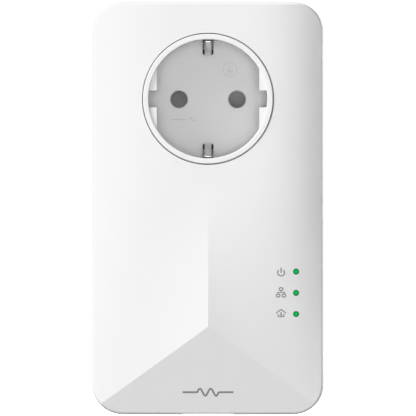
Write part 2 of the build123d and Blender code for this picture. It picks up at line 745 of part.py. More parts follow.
def pair_switch():
    """A right-angle tactile switch on a foot that stands on the board."""
    low, high = BUTTON_Z - SWITCH_HALF, BUTTON_Z + SWITCH_HALF
    y_front, y_back = Y_PART - SWITCH_HALF, Y_PART + SWITCH_HALF
    body = block(SWITCH_X, (y_front, y_back), (low, high))
    foot_x = (SWITCH_X[0] + 0.3, SWITCH_X[1] - 0.4)
    foot = block(foot_x, (y_back, BOARD_FRONT), (low + 0.4, high - 0.4))
    bore = rod_x(PLUNGER_R + 0.06, PLUNGER_BACK_X - 1.2, SWITCH_X[1] + PAST, Y_PART, BUTTON_Z)
    return body + foot - bore


def light_guide():
    """Three clear rods on a common bar, flush with the front."""
    x_span = (LIGHT_X - GUIDE_BAR_HALF, LIGHT_X + GUIDE_BAR_HALF)
    z_span = (LIGHT_ZS[-1] - 1.6, LIGHT_ZS[0] + 1.6)
    guide = block(x_span, (GUIDE_BAR_FRONT, GUIDE_BAR_BACK), z_span)
    for z in LIGHT_ZS:
        guide += rod(LIGHT_R, Y_APEX - PAST, GUIDE_BACK, LIGHT_X, z)
    return guide & behind_front(0.0)


def status_leds():
    return [on_board(LIGHT_X, z, width=2.0, height=1.4, rise=0.9) for z in LIGHT_ZS]


# ---------------------------------------------------------------- circuit board and parts


def main_board():
    x_span, y_span = (-BOARD_HALF_WIDTH, BOARD_HALF_WIDTH), (BOARD_FRONT, BOARD_BACK)
    board = block(x_span, y_span, (BOARD_BOTTOM, BOARD_TOP))
    board = fillet(board.edges().filter_by(Axis.Y), BOARD_CORNER_R)
    front, back = BOARD_FRONT - PAST, BOARD_BACK + PAST
    for x, z in HOUSING_SCREWS[:2]:
        board -= rod(BOSS_CUTOUT_R, front, back, x, z)
    for x, z in BOARD_SCREWS:
        board -= rod(BOARD_HOLE_R, front, back, x, z)
    z_span = (TAB_Z - TAB_SLOT_HALF_HEIGHT, TAB_Z + TAB_SLOT_HALF_HEIGHT)
    for x in (-PIN_X, PIN_X):
        slot = (x - TAB_SLOT_HALF_WIDTH, x + TAB_SLOT_HALF_WIDTH)
        board -= block(slot, (front, back), z_span)
    return board


def on_board(x, z, width, height, rise):
    """A rectangular part on the board's front face, centred at x, z."""
    x_span = (x - width / 2, x + width / 2)
    return block(x_span, (BOARD_FRONT - rise, BOARD_FRONT), (z - height / 2, z + height / 2))


def front_edges(solid):
    """The edges round a part's face that is furthest from the board."""
    return solid.faces().sort_by(Axis.Y)[0].edges()


def can_on_board(x, z, radius, rise):
    """A round can standing on the board, with the crimp that electrolytic cans have."""
    can = rod(radius, BOARD_FRONT - rise, BOARD_FRONT, x, z)
    can = fillet(can.edges().group_by(Axis.Y)[0], 0.6)
    crimp = rod(radius + PAST, BOARD_FRONT - 2.6, BOARD_FRONT - 1.8, x, z)
    return can - (crimp - rod(radius - 0.4, BOARD_FRONT - 2.7, BOARD_FRONT - 1.7, x, z))


# Where the parts stand on the board, as (x, z)
BULK_CAPACITORS = [(3.0, -37.0), (3.0, -48.0)]
OUTPUT_CAPACITORS = [(14.5, -75.0), (22.0, -75.0)]
FUSE = (-23.5, -34.8)
VARISTOR = (-27.0, -43.5)
X_CAPACITOR = (-10.5, -36.0)
CHOKE = (-11.0, -48.5)
FLYBACK = (17.5, -40.0)
COUPLING_TRANSFORMER = (17.0, -59.5)
BRIDGE_RECTIFIER = (16.0, -51.0)
MAIN_CHIP = (-14.0, -69.3)
MEMORY_CHIPS = [(6.0, -62.5), (6.0, -73.0)]
CRYSTAL = (6.0, -81.0)
LAN_TRANSFORMER = (-18.5, -87.5)
CHIP_ROWS = [
    (-81.9, [-24.0 + 2.4 * i for i in range(8)]),
    (-67.8, [2.0 + 2.2 * i for i in range(9)]),
    (-57.0, [-0.5 + 2.4 * i for i in range(5)]),
]


def bulk_capacitors():
    return [can_on_board(x, z, radius=5.0, rise=16.0) for x, z in BULK_CAPACITORS]


def output_capacitors():
    return [can_on_board(x, z, radius=3.15, rise=11.0) for x, z in OUTPUT_CAPACITORS]


def fuse():
    body = rod(3.6, BOARD_FRONT - 8.0, BOARD_FRONT, *FUSE)
    return fillet(body.edges().group_by(Axis.Y)[0], 0.5)


def varistor(radius=5.0, thickness=4.0, lead_r=0.4, lead_at=2.5):
    """A disc on edge, with its two leads."""
    x, z = VARISTOR
    disc = Pos(x, BOARD_FRONT - radius - 1.5, z) * Cylinder(radius, thickness)
    disc = fillet(disc.edges(), 1.2)
    for side in (-1, 1):
        disc += rod(lead_r, BOARD_FRONT - 4.0, BOARD_FRONT, x + side * lead_at, z)
    return disc


def x_capacitor():
    body = on_board(*X_CAPACITOR, width=15.0, height=7.5, rise=14.0)
    return fillet(front_edges(body), 0.8)


CHOKE_INNER_R, CHOKE_OUTER_R = 4.5, 7.9
CHOKE_FRONT, CHOKE_BACK = -21.2, -15.2
CHOKE_WIRE_R = 0.32
CHOKE_WIRE_GAP = 0.05
CHOKE_TURNS = 7
CHOKE_TURN_DEG = 17.0


def choke_core():
    ring = Circle(CHOKE_OUTER_R) - Circle(CHOKE_INNER_R)
    return chamfer(slab(Pos(*CHOKE) * ring, CHOKE_FRONT, CHOKE_BACK).edges(), 0.5)


def choke_windings():
    """Two windings on opposite halves of the core, their ends standing on the board."""
    off = CHOKE_WIRE_R + CHOKE_WIRE_GAP
    inner, outer = CHOKE_INNER_R - off, CHOKE_OUTER_R + off
    front, back = CHOKE_FRONT - off, CHOKE_BACK + off
    windings = []
    for middle in (0.0, 180.0):
        points = []
        for i in range(CHOKE_TURNS):
            angle = radians(middle + (i - (CHOKE_TURNS - 1) / 2) * CHOKE_TURN_DEG)
            for r, y in ((inner, back), (inner, front), (outer, front), (outer, back)):
                points.append((CHOKE[0] + r * cos(angle), y, CHOKE[1] + r * sin(angle)))
        for end in (0, -1):
            points[end] = (points[end][0], BOARD_FRONT, points[end][2])
        path = FilletPolyline(points, radius=0.8)
        section = Plane(origin=path @ 0, z_dir=path % 0) * Circle(CHOKE_WIRE_R)
        windings.append(sweep(section, path=path))
    return windings


FLYBACK_RISE = 15.0
WINDOW_HALF_WIDTH = 6.0
WINDOW_FRONT, WINDOW_BACK = BOARD_FRONT - 12.0, BOARD_FRONT - 3.0
WINDING_HALF_HEIGHT = 7.5
WINDING_GAP = 0.1


def flyback_window(shrink, half_height):
    x, z = FLYBACK
    half = WINDOW_HALF_WIDTH - shrink
    y_span = (WINDOW_FRONT + shrink, WINDOW_BACK - shrink)
    return block((x - half, x + half), y_span, (z - half_height, z + half_height))


def flyback_core():
    """A ferrite frame round the winding, open at both ends."""
    core = on_board(*FLYBACK, width=18.0, height=8.0, rise=FLYBACK_RISE)
    return core - flyback_window(0.0, WINDING_HALF_HEIGHT)


def flyback_winding():
    winding = flyback_window(WINDING_GAP, WINDING_HALF_HEIGHT)
    return fillet(winding.edges().filter_by(Axis.Z), 1.5)


def coupling_transformer():
    body = on_board(*COUPLING_TRANSFORMER, width=11.0, height=11.0, rise=9.0)
    return chamfer(front_edges(body), 0.6)


def bridge_rectifier():
    body = on_board(*BRIDGE_RECTIFIER, width=8.5, height=4.4, rise=2.6)
    return chamfer(front_edges(body), 0.4)


CHIP_SIZE = 14.0
CHIP_RISE = 1.2
PAD_RISE = 1.7


def main_chip():
    return on_board(*MAIN_CHIP, CHIP_SIZE, CHIP_SIZE, CHIP_RISE)


def thermal_pad():
    below = on_board(*MAIN_CHIP, CHIP_SIZE + PAST, CHIP_SIZE + PAST, CHIP_RISE)
    return on_board(*MAIN_CHIP, CHIP_SIZE, CHIP_SIZE, PAD_RISE) - below


def heat_sink(size=23.5, base=2.0, fin_height=7.0, fin_width=1.2, fins=8):
    """A finned plate on the thermal pad."""
    x, z = MAIN_CHIP
    back = BOARD_FRONT - PAD_RISE
    z_span = (z - size / 2, z + size / 2)
    sink = block((x - size / 2, x + size / 2), (back - base, back), z_span)
    for i in range(fins):
        low = x - size / 2 + i * (size - fin_width) / (fins - 1)
        y_span = (back - base - fin_height, back - base)
        sink += block((low, low + fin_width), y_span, z_span)
    return sink


def memory_chips():
    return [on_board(x, z, width=10.0, height=7.5, rise=1.0) for x, z in MEMORY_CHIPS]


def crystal():
    body = on_board(*CRYSTAL, width=7.0, height=3.4, rise=2.2)
    return fillet(body.edges().filter_by(Axis.Y), 1.2)


def lan_transformer():
    body = on_board(*LAN_TRANSFORMER, width=13.0, height=9.5, rise=5.2)
    return chamfer(front_edges(body), 0.5)


def chip_components():
    """Small resistors and capacitors in rows."""
    return [on_board(x, z, 1.6, 0.8, 0.7) for z, xs in CHIP_ROWS for x in xs]


# ---------------------------------------------------------------- writing


NODES = {
    "front_cover": front_cover,
    "back_cover": back_cover,
    "rating_label": rating_label,
    "housing_screws": housing_screws,
    "socket_insert": socket_insert,
    "socket_shutter": socket_shutter,
    "shutter_spring": shutter_spring,
    "contact_carrier": contact_carrier,
    "carrier_screws": carrier_screws,
    "line_contact": lambda: socket_contact(PIN_X),
    "neutral_contact": lambda: socket_contact(-PIN_X),
    "earth_clip_upper": earth_clip,
    "earth_clip_lower": lambda: mirrored_in_z(earth_clip()),
    "earth_strap": earth_strap,
    "plug_base": plug_base,
    "plug_earth_contacts": plug_earth_contacts,
    "line_pin": lambda: plug_pin(PIN_X),
    "neutral_pin": lambda: plug_pin(-PIN_X),
    "line_busbar": lambda: busbar(PIN_X),
    "neutral_busbar": lambda: busbar(-PIN_X),
    "jack_shield": jack_shield,
    "jack_housing": jack_housing,
    "jack_contacts": jack_contacts,
    "pair_button": pair_button,
    "switch_plunger": switch_plunger,
    "pair_switch": pair_switch,
    "light_guide": light_guide,
    "status_leds": status_leds,
    "main_board": main_board,
    "board_screws": board_screws,
    "bulk_capacitors": bulk_capacitors,
    "output_capacitors": output_capacitors,
    "fuse": fuse,
    "varistor": varistor,
    "x_capacitor": x_capacitor,
    "choke_core": choke_core,
    "choke_windings": choke_windings,
    "flyback_core": flyback_core,
    "flyback_winding": flyback_winding,
    "coupling_transformer": coupling_transformer,
    "bridge_rectifier": bridge_rectifier,
    "main_chip": main_chip,
    "thermal_pad": thermal_pad,
    "heat_sink": heat_sink,
    "memory_chips": memory_chips,
    "crystal": crystal,
    "lan_transformer": lan_transformer,
    "chip_components": chip_components,
}

os.makedirs("parts", exist_ok=True)
for name, make in NODES.items():
    made = make()
    solids = made if isinstance(made, list) else [made]
    flat = [solid for item in solids for solid in item.solids()]
    shape = flat[0] if len(flat) == 1 else Compound(children=flat)
    export_step(shape, f"parts/{name}.step")
    print(name, len(flat), round(sum(solid.volume for solid in flat), 1))
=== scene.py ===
import json
from math import cos, pi, radians, sin

import bmesh
import bpy
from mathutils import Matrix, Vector
from mathutils.bvhtree import BVHTree


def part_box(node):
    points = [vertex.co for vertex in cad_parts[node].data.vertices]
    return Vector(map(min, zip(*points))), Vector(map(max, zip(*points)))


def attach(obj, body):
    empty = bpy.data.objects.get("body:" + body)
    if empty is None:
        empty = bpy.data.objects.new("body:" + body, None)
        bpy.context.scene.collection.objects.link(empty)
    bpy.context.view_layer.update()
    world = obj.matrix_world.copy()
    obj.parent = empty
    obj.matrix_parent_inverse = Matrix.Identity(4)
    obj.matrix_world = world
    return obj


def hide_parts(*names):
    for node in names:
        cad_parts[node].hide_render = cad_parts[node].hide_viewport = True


# Looks for the powerline adapter: materials on the CAD nodes, printed and moulded marks,
# the lit lamps, and the studio. Metres; +Z is up and the front faces -Y.

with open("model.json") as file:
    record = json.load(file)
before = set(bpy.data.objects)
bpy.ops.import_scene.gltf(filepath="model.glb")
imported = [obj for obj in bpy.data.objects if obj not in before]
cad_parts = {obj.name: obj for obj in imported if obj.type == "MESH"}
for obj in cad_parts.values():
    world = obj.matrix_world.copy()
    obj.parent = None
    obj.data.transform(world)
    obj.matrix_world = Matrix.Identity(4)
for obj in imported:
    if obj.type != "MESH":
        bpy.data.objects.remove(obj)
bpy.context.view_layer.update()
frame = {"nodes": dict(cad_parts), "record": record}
NODES = frame["nodes"]
MM = 0.001

COVER_LOW, COVER_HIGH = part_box("front_cover")
LIP_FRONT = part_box("socket_insert")[0].y
GUIDE_LOW, GUIDE_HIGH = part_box("light_guide")
GUIDE_END = 1.6 * MM
GLOW_CORE, GLOW_EDGE = 0.2 * MM, 0.9 * MM
RECESS_DEPTH = 17.3 * MM
# Painted shade in the socket's recess: the colour factors for its walls and for its floor.
WALL_PAINTED_SHADE, FLOOR_PAINTED_SHADE = 0.72, 0.96
FLOW_SIZE, FLOW_STRETCH = 30.0 * MM, (1.0, 1.0, 0.4)
GLOSS_SIZE = 8.0 * MM
CLIP_ROUNDING = 0.46 * MM
SYMBOL_LEFT_OF_LAMP = 4.9 * MM
MAKER_MARK_RISE = 7.7 * MM


# ---------------------------------------------------------------- node helpers


class Recipe:
    """A material's node tree, with short calls for the nodes that it needs."""

    def __init__(self, name):
        self.material = bpy.data.materials.new(name)
        self.material.use_nodes = True
        self.tree = self.material.node_tree
        self.shader = self.tree.nodes["Principled BSDF"]

    def node(self, kind, **inputs):
        """Adds a node; inputs are values or sockets, and spaces in names are underscores."""
        made = self.tree.nodes.new(kind)
        for key, value in inputs.items():
            self.plug(made.inputs[key.replace("_", " ")], value)
        return made

    def plug(self, socket, value):
        if isinstance(value, bpy.types.NodeSocket):
            self.tree.links.new(value, socket)
        else:
            socket.default_value = value

    def set(self, **inputs):
        for key, value in inputs.items():
            self.plug(self.shader.inputs[key.replace("_", " ")], value)

    def place(self, stretch=(1.0, 1.0, 1.0)):
        """The object's own coordinates, in metres, stretched along its axes."""
        coordinates = self.tree.nodes.new("ShaderNodeTexCoord")
        mapping = self.node("ShaderNodeMapping", Vector=coordinates.outputs["Object"])
        mapping.inputs["Scale"].default_value = stretch
        return mapping.outputs["Vector"]

    def noise(self, size, detail=3.0, stretch=(1.0, 1.0, 1.0)):
        """Noise whose features are about size metres across."""
        made = self.node(
            "ShaderNodeTexNoise",
            Vector=self.place(stretch),
            Scale=1.0 / size,
            Detail=detail,
        )
        return made.outputs["Fac"]

    def span(self, value, low, high):
        """Maps a 0 to 1 value to low to high."""
        made = self.node("ShaderNodeMapRange", Value=value, To_Min=low, To_Max=high)
        return made.outputs["Result"]

    def between(self, value, dark, light):
        """A colour between two colours."""
        made = self.tree.nodes.new("ShaderNodeMix")
        made.data_type = "RGBA"
        colours = [s for s in made.inputs if s.type == "RGBA"]
        self.plug(made.inputs["Factor"], value)
        self.plug(colours[0], (*dark, 1.0))
        self.plug(colours[1], (*light, 1.0))
        return [s for s in made.outputs if s.type == "RGBA"][0]

    def bump(self, height, depth):
        """A bump of depth metres from a 0 to 1 height."""
        made = self.node("ShaderNodeBump", Height=height, Distance=depth, Strength=1.0)
        self.set(Normal=made.outputs["Normal"])

    def gloss(self, roughness):
        """Moulded plastic's roughness, which varies a little from place to place."""
        return self.span(self.noise(GLOSS_SIZE), roughness - 0.04, roughness + 0.04)


def shade(colour, factor):
    return tuple(min(1.0, c * factor) for c in colour)


def lamp_places():
    """The x and z of the guide's three round ends, from the top."""
    x = (GUIDE_LOW.x + GUIDE_HIGH.x) / 2
    top, bottom = GUIDE_HIGH.z - GUIDE_END, GUIDE_LOW.z + GUIDE_END
    return [(x, z) for z in (top, (top + bottom) / 2, bottom)]


# ---------------------------------------------------------------- materials


def moulded_plastic(name, colour, roughness, grain=0.00012, depth=0.000006, coat=0.0):
    """Injection-moulded plastic: spark-eroded grain, faint flow marks and uneven gloss."""
    recipe = Recipe(name)
    flow = recipe.noise(FLOW_SIZE, 2.0, FLOW_STRETCH)
    fine = recipe.noise(grain, 2.0)
    recipe.set(
        Base_Color=recipe.between(flow, shade(colour, 0.985), shade(colour, 1.01)),
        Roughness=recipe.gloss(roughness),
        IOR=1.5,
        Coat_Weight=coat,
        Coat_Roughness=0.12,
    )
    recipe.bump(fine, depth)
    return recipe.material


def recess_painted_shade_plastic(name, colour, roughness):
    """Moulded plastic with painted shade: coloured darker down the recess, most of all on its
    walls, where shade falls in the socket.
    """
    recipe = Recipe(name)
    place = recipe.node("ShaderNodeSeparateXYZ", Vector=recipe.place())
    depth = recipe.node("ShaderNodeMapRange", Value=place.outputs["Y"])
    depth.inputs["From Min"].default_value = LIP_FRONT
    depth.inputs["From Max"].default_value = LIP_FRONT + RECESS_DEPTH
    # Painted shade: full colour at the lip, much darker on the walls, and a little darker on the
    # floor.
    painted_shades = recipe.node("ShaderNodeValToRGB", Fac=depth.outputs["Result"])
    levels = painted_shades.color_ramp.elements
    levels[0].position, levels[0].color = 0.05, (*colour, 1.0)
    levels[1].position, levels[1].color = 1.0, (*shade(colour, FLOOR_PAINTED_SHADE), 1.0)
    for position in (0.12, 0.94):
        levels.new(position).color = (*shade(colour, WALL_PAINTED_SHADE), 1.0)
    flow = recipe.noise(FLOW_SIZE, 2.0, FLOW_STRETCH)
    tint = recipe.node("ShaderNodeVectorMath")
    tint.operation = "SCALE"
    recipe.plug(tint.inputs[0], painted_shades.outputs["Color"])
    recipe.plug(tint.inputs["Scale"], recipe.span(flow, 0.985, 1.01))
    recipe.set(
        Base_Color=tint.outputs["Vector"],
        Roughness=recipe.gloss(roughness),
        IOR=1.5,
    )
    recipe.bump(recipe.noise(0.0002, 2.0), 0.000004)
    return recipe.material


def plated_metal(name, colour, roughness, stretch=(1.0, 1.0, 1.0)):
    """Plated or rolled metal with fine drawing lines and slight staining."""
    recipe = Recipe(name)
    lines = recipe.noise(0.0003, 3.0, stretch)
    stain = recipe.noise(0.004, 4.0)
    recipe.set(
        Base_Color=recipe.between(stain, shade(colour, 0.9), shade(colour, 1.04)),
        Metallic=1.0,
        Roughness=recipe.span(lines, roughness * 0.8, roughness * 1.3),
    )
    recipe.bump(lines, 0.000004)
    return recipe.material


def printed_ink(name, colour):
    """Pad-printed ink: flat, slightly mottled and a little thin at places."""
    recipe = Recipe(name)
    mottle = recipe.noise(0.0004, 3.0)
    recipe.set(
        Base_Color=recipe.between(mottle, shade(colour, 0.9), shade(colour, 1.08)),
        Roughness=recipe.span(mottle, 0.5, 0.65),
    )
    return recipe.material


def lit_lens(name, bright, dim):
    """A clear guide lit from behind: each round end is brightest in its middle."""
    recipe = Recipe(name)
    ends = recipe.tree.nodes.new("ShaderNodeTexCoord").outputs["Object"]
    nearest = None
    for x, z in lamp_places():
        flat = recipe.node("ShaderNodeVectorMath")
        flat.operation = "MULTIPLY"
        recipe.plug(flat.inputs[0], ends)
        flat.inputs[1].default_value = (1.0, 0.0, 1.0)
        away = recipe.node("ShaderNodeVectorMath")
        away.operation = "DISTANCE"
        recipe.plug(away.inputs[0], flat.outputs["Vector"])
        away.inputs[1].default_value = (x, 0.0, z)
        if nearest is None:
            nearest = away.outputs["Value"]
            continue
        least = recipe.node("ShaderNodeMath")
        least.operation = "MINIMUM"
        recipe.plug(least.inputs[0], nearest)
        recipe.plug(least.inputs[1], away.outputs["Value"])
        nearest = least.outputs[0]
    fade = recipe.node("ShaderNodeMapRange", Value=nearest)
    fade.interpolation_type = "SMOOTHSTEP"
    fade.inputs["From Min"].default_value = GLOW_CORE
    fade.inputs["From Max"].default_value = GLOW_EDGE
    cloud = recipe.noise(0.0004, 2.0)
    glow = recipe.between(fade.outputs["Result"], bright, dim)
    recipe.set(
        Base_Color=recipe.between(cloud, shade(dim, 0.3), shade(dim, 0.5)),
        Roughness=0.5,
        Specular_IOR_Level=0.1,
        Emission_Color=glow,
        Emission_Strength=1.0,
    )
    return recipe.material


def circuit_board(name):
    """Solder mask over glass fibre, with a faint weave and lighter copper areas."""
    recipe = Recipe(name)
    copper = recipe.noise(0.006, 1.0)
    weave = recipe.noise(0.0006, 2.0, (1.0, 1.0, 4.0))
    steps = recipe.node("ShaderNodeMath", Value=copper)
    steps.operation = "SNAP"
    steps.inputs[1].default_value = 0.12
    recipe.set(
        Base_Color=recipe.between(steps.outputs[0], (0.01, 0.10, 0.04), (0.03, 0.26, 0.10)),
        Roughness=recipe.span(weave, 0.25, 0.4),
        Coat_Weight=0.4,
        Coat_Roughness=0.1,
    )
    recipe.bump(weave, 0.000015)
    return recipe.material


def rubber_pad(name, colour):
    """Soft filled rubber with a coarse, dry surface."""
    recipe = Recipe(name)
    speckle = recipe.noise(0.0005, 4.0)
    recipe.set(
        Base_Color=recipe.between(speckle, shade(colour, 0.8), shade(colour, 1.1)),
        Roughness=recipe.span(speckle, 0.75, 0.95),
    )
    recipe.bump(speckle, 0.00004)
    return recipe.material


WHITE = (0.86, 0.86, 0.862)
MATERIALS = {
    "housing_white": moulded_plastic("housing_white", WHITE, 0.42),
    "housing_white_back": moulded_plastic("housing_white_back", shade(WHITE, 0.98), 0.5),
    "socket_white": recess_painted_shade_plastic("socket_white", shade(WHITE, 0.97), 0.36),
    "plug_white": moulded_plastic("plug_white", shade(WHITE, 0.97), 0.45),
    "button_white": moulded_plastic("button_white", shade(WHITE, 0.95), 0.4),
    "shutter_grey": moulded_plastic("shutter_grey", (0.26, 0.26, 0.262), 0.45),
    "carrier_grey": moulded_plastic("carrier_grey", (0.08, 0.08, 0.085), 0.5),
    "jack_black": moulded_plastic("jack_black", (0.012, 0.012, 0.013), 0.38),
    "plunger_black": moulded_plastic("plunger_black", (0.02, 0.02, 0.02), 0.4),
    "switch_black": moulded_plastic("switch_black", (0.025, 0.025, 0.026), 0.45),
    "chip_black": moulded_plastic("chip_black", (0.02, 0.02, 0.022), 0.55, 0.0002, 0.00001),
    "fuse_brown": moulded_plastic("fuse_brown", (0.10, 0.03, 0.015), 0.4),
    "film_capacitor": moulded_plastic("film_capacitor", (0.72, 0.50, 0.06), 0.42),
    "winding_tape": moulded_plastic("winding_tape", (0.75, 0.55, 0.04), 0.25, coat=0.4),
    "varistor_blue": moulded_plastic("varistor_blue", (0.02, 0.06, 0.30), 0.3, coat=0.3),
    "choke_coating": moulded_plastic("choke_coating", (0.03, 0.14, 0.08), 0.5, 0.0005, 0.00003),
    "capacitor_sleeve": moulded_plastic("capacitor_sleeve", (0.02, 0.02, 0.045), 0.25, coat=0.4),
    "ferrite": moulded_plastic("ferrite", (0.03, 0.03, 0.032), 0.6, 0.0006, 0.00004),
    "chip_ceramic": moulded_plastic("chip_ceramic", (0.28, 0.19, 0.12), 0.5),
    "led_body": moulded_plastic("led_body", (0.72, 0.78, 0.62), 0.3, coat=0.3),
    "label_silver": moulded_plastic("label_silver", (0.55, 0.56, 0.57), 0.35, 0.0004, 0.000003),
    "screw_steel": plated_metal("screw_steel", (0.55, 0.55, 0.56), 0.32),
    "spring_steel": plated_metal("spring_steel", (0.48, 0.48, 0.50), 0.28),
    "contact_brass": plated_metal("contact_brass", (0.55, 0.38, 0.13), 0.42),
    "clip_nickel": plated_metal("clip_nickel", (0.93, 0.92, 0.90), 0.3, (1.0, 0.1, 0.1)),
    "pin_nickel": plated_metal("pin_nickel", (0.78, 0.77, 0.74), 0.18, (1.0, 8.0, 1.0)),
    "busbar_tinned": plated_metal("busbar_tinned", (0.68, 0.68, 0.68), 0.35),
    "shield_steel": plated_metal("shield_steel", (0.64, 0.64, 0.65), 0.3, (1.0, 1.0, 0.1)),
    "contact_gold": plated_metal("contact_gold", (0.90, 0.65, 0.22), 0.2),
    "copper_wire": plated_metal("copper_wire", (0.70, 0.27, 0.10), 0.25),
    "sink_aluminium": plated_metal("sink_aluminium", (0.62, 0.62, 0.63), 0.4, (1.0, 1.0, 0.1)),
    "crystal_can": plated_metal("crystal_can", (0.70, 0.70, 0.69), 0.25),
    "light_guide_clear": lit_lens("light_guide_clear", (0.0, 0.50, 0.07), (0.0, 0.15, 0.04)),
    "board_green": circuit_board("board_green"),
    "pad_rubber": rubber_pad("pad_rubber", (0.28, 0.33, 0.40)),
}
# Raised marks: polished, with lower roughness, and coloured darker than the plastic around them
# as painted shade, for the shade along their raised edges.
POLISHED_WITH_PAINTED_SHADE = moulded_plastic("polished_white_painted_shade", shade(WHITE, 0.78), 0.25)
INK = printed_ink("printed_grey", (0.33, 0.33, 0.33))
DARK_INK = printed_ink("printed_dark_grey", (0.27, 0.27, 0.27))


def dress_cad_nodes():
    """Gives each CAD node the material of its slot in the record."""
    for part in frame["record"]["subparts"]:
        node = NODES[part["node"]]
        node.data.materials.clear()
        node.data.materials.append(MATERIALS[part["material_slot"]])


def crown_clip(side):
    """An earth clip with its long edges rounded over, as on a coined strip."""
    node = NODES[f"earth_clip_{side}"]
    mesh = bmesh.new()
    mesh.from_mesh(node.data)
    bmesh.ops.remove_doubles(mesh, verts=mesh.verts, dist=1e-6)
    bmesh.ops.dissolve_limit(
        mesh, angle_limit=radians(0.5), verts=mesh.verts, edges=mesh.edges
    )
    data = bpy.data.meshes.new(f"crowned_clip_{side}")
    mesh.to_mesh(data)
    mesh.free()
    data.materials.append(MATERIALS["clip_nickel"])
    piece = bpy.data.objects.new(data.name, data)
    piece.matrix_world = node.matrix_world.copy()
    bpy.context.scene.collection.objects.link(piece)
    rounding = piece.modifiers.new("rounding", "BEVEL")
    rounding.width = CLIP_ROUNDING
    rounding.segments = 5
    rounding.angle_limit = radians(50.0)
    for face in data.polygons:
        face.use_smooth = True
    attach(piece, f"{side}_clip")
    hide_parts(node.name)


# ---------------------------------------------------------------- printed and moulded marks


def surface_of(node):
    """A function that gives the first point of a CAD node's front at an x and a z."""
    mesh = NODES[node].data
    corners = [v.co.copy() for v in mesh.vertices]
    tree = BVHTree.FromPolygons(corners, [list(p.vertices) for p in mesh.polygons])

    def front_at(x, z):
        hit = tree.ray_cast(Vector((x, -1.0, z)), Vector((0.0, 1.0, 0.0)))
        return hit[0].y

    return front_at


def arc(radius, start_deg, end_deg, centre=(0.0, 0.0), steps=28):
    """Points on an arc, in millimetres; 0 is to the right and 90 is up."""
    points = []
    for i in range(steps + 1):
        angle = radians(start_deg + (end_deg - start_deg) * i / steps)
        points.append((centre[0] + radius * cos(angle), centre[1] + radius * sin(angle)))
    return points


def ring(radius):
    return arc(radius, 0.0, 360.0)[:-1] + [(radius, 0.0)]


def rounded_box(width, height, radius, centre):
    """A closed box with arcs for corners, in millimetres."""
    points = []
    for sx, sy, start in ((1, 1, 0), (-1, 1, 90), (-1, -1, 180), (1, -1, 270)):
        corner = (
            centre[0] + sx * (width / 2 - radius),
            centre[1] + sy * (height / 2 - radius),
        )
        points += arc(radius, start, start + 90, corner, 5)
    return points + points[:1]


def densified(points, step=0.25):
    """The same line with a point at least every step, so that it can follow a surface."""
    made = [points[0]]
    for (ax, az), (bx, bz) in zip(points, points[1:]):
        count = max(1, int(((bx - ax) ** 2 + (bz - az) ** 2) ** 0.5 / step))
        for i in range(1, count + 1):
            made.append((ax + (bx - ax) * i / count, az + (bz - az) * i / count))
    return made


def stroke(mesh, points, width, front_at, origin, lift, thick):
    """Adds a flat ribbon of the given width along points, lying on a surface."""
    line = [Vector(p) for p in densified(points)]
    closed = (line[0] - line[-1]).length < 1e-6
    rows = []
    for i, here in enumerate(line):
        before = line[i - 1] if i else (line[-2] if closed else here)
        after = line[i + 1] if i + 1 < len(line) else (line[1] if closed else here)
        along = (after - before).normalized()
        across = Vector((-along.y, along.x)) * (width / 2)
        row = []
        for side in (here + across, here - across):
            x, z = origin[0] + side.x * MM, origin[1] + side.y * MM
            y = front_at(x, z) - lift
            row.append(mesh.verts.new((x, y, z)))
            row.append(mesh.verts.new((x, y + thick, z)))
        rows.append(row)
    for (a, a_low, b, b_low), (c, c_low, d, d_low) in zip(rows, rows[1:]):
        for face in ((a, b, d, c), (a_low, a, c, c_low), (b, b_low, d_low, d)):
            mesh.faces.new(face)
    for end in (rows[0], rows[-1]):
        if not closed:
            mesh.faces.new((end[0], end[1], end[3], end[2]))


def mark(name, slot, material, origin, strokes, node, lift=0.00002, thick=0.00004, bevel=0.0):
    """One printed or moulded mark, of (points, width) strokes on the front of a CAD node."""
    front_at = surface_of(node)
    mesh = bmesh.new()
    for points, width in strokes:
        stroke(mesh, points, width, front_at, origin, lift, thick)
    bmesh.ops.remove_doubles(mesh, verts=mesh.verts, dist=1e-7)
    bmesh.ops.recalc_face_normals(mesh, faces=mesh.faces)
    data = bpy.data.meshes.new(name)
    mesh.to_mesh(data)
    mesh.free()
    piece = bpy.data.objects.new(name, data)
    bpy.context.scene.collection.objects.link(piece)
    data.materials.append(material)
    if bevel:
        rounding = piece.modifiers.new("rounding", "BEVEL")
        rounding.width = bevel
        rounding.segments = 2
    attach(piece, "housing")


def power_symbol():
    """An open ring with a bar in its gap."""
    return [(arc(1.1, 135.0, 405.0, (0.0, -0.3)), 0.42), ([(0.0, 1.3), (0.0, -0.5)], 0.42)]


def network_symbol():
    """One box above two, joined by a tree of lines."""
    centres = ((0.0, 1.2), (-0.95, -0.9), (0.95, -0.9))
    boxes = [(rounded_box(1.1, 0.88, 0.3, centre), 0.4) for centre in centres]
    lines = [[(0.0, 0.6), (0.0, 0.1)], [(-1.38, 0.1), (1.38, 0.1)]]
    lines += [[(x, 0.1), (x, -0.3)] for x in (-0.95, 0.95)]
    return boxes + [(line, 0.3) for line in lines]


def home_symbol():
    """A roof over a tray with a post in it."""
    roof = [(-1.63, 0.32), (0.0, 1.5), (1.63, 0.32)]
    tray = [(-0.93, 0.1), (-0.93, -0.8), (0.93, -0.8), (0.93, 0.1)]
    return [(roof, 0.38), (tray, 0.34), ([(0.0, 0.6), (0.0, -0.7)], 0.48)]


def earth_symbol():
    """Three shrinking bars under a stem, in a ring."""
    bars = [[(-w, z), (w, z)] for w, z in ((1.3, -0.2), (0.85, -0.75), (0.4, -1.3))]
    lines = [ring(2.25), [(0.0, 1.6), (0.0, -0.2)]] + bars
    return [(line, 0.26) for line in lines]


def wave(width, height, turns=1.0, steps=24):
    """A sine wave, centred."""
    return [
        (width * (i / steps - 0.5), height / 2 * sin(2 * pi * turns * i / steps))
        for i in range(steps + 1)
    ]


def line_with_a_wave(length, wave_length, height):
    """A plain straight line that turns into two waves in its middle."""
    middle = wave(wave_length, height, 2.0, 64)
    return [(-length / 2, 0.0)] + middle + [(length / 2, 0.0)]


